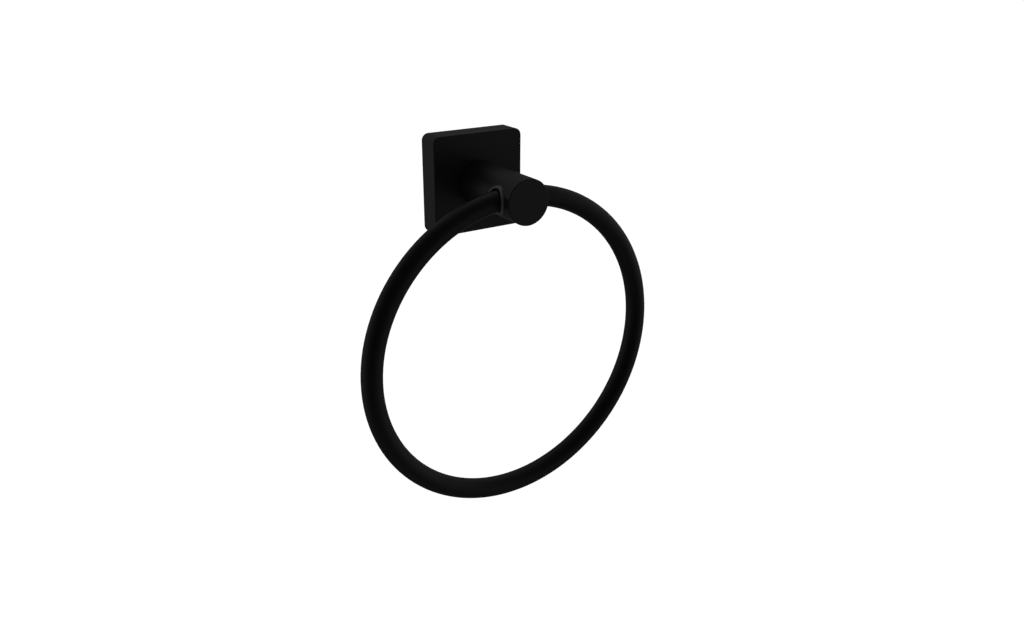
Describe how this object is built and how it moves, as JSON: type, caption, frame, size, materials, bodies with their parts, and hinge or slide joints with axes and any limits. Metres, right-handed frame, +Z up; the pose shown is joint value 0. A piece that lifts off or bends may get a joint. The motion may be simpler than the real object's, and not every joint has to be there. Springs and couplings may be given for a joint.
{
  "type": "towel ring",
  "caption": "Wall-mounted towel ring in matt black: a square backplate, a round post standing out from it, and a round-bar ring that swings in plastic bushes in a hole across the post.",
  "frame": {"origin": "middle of the wall-screw pattern on the wall plane, which is also the middle of the backplate and of the post", "axes": "+Y into the wall, +Z up, +X to the right as seen from the room; the post stands out along -Y and the ring hangs along -Z"},
  "size_m": [0.163, 0.0564, 0.1821],
  "materials": {
    "backplate_black": "matt black powder coat, fine texture",
    "post_black": "matt black powder coat, fine texture",
    "ring_black": "matt black powder coat, fine texture",
    "bush_plastic": "natural grey nylon, as moulded",
    "zinc_screw": "bright zinc plate",
    "spring_steel": "plain spring steel, phosphated",
    "pin_steel": "ground steel",
    "bracket_steel": "pressed stainless sheet, mill finish",
    "black_oxide": "black oxide"
  },
  "bodies": {
    "holder": {"backplate": "backplate_black", "post": "post_black", "bush_left": "bush_plastic", "bush_right": "bush_plastic", "post_screw": "zinc_screw", "lock_washer": "spring_steel", "locating_pin": "pin_steel", "wall_bracket": "bracket_steel", "grub_screw": "black_oxide"},
    "ring": {"ring": "ring_black"}
  },
  "joints": [
    {"name": "ring_swing", "type": "hinge", "parent": "holder", "child": "ring", "pos_m": [0, -0.0457, 0], "axis": [-1, 0, 0], "range_deg": [-15, 195]}
  ]
}
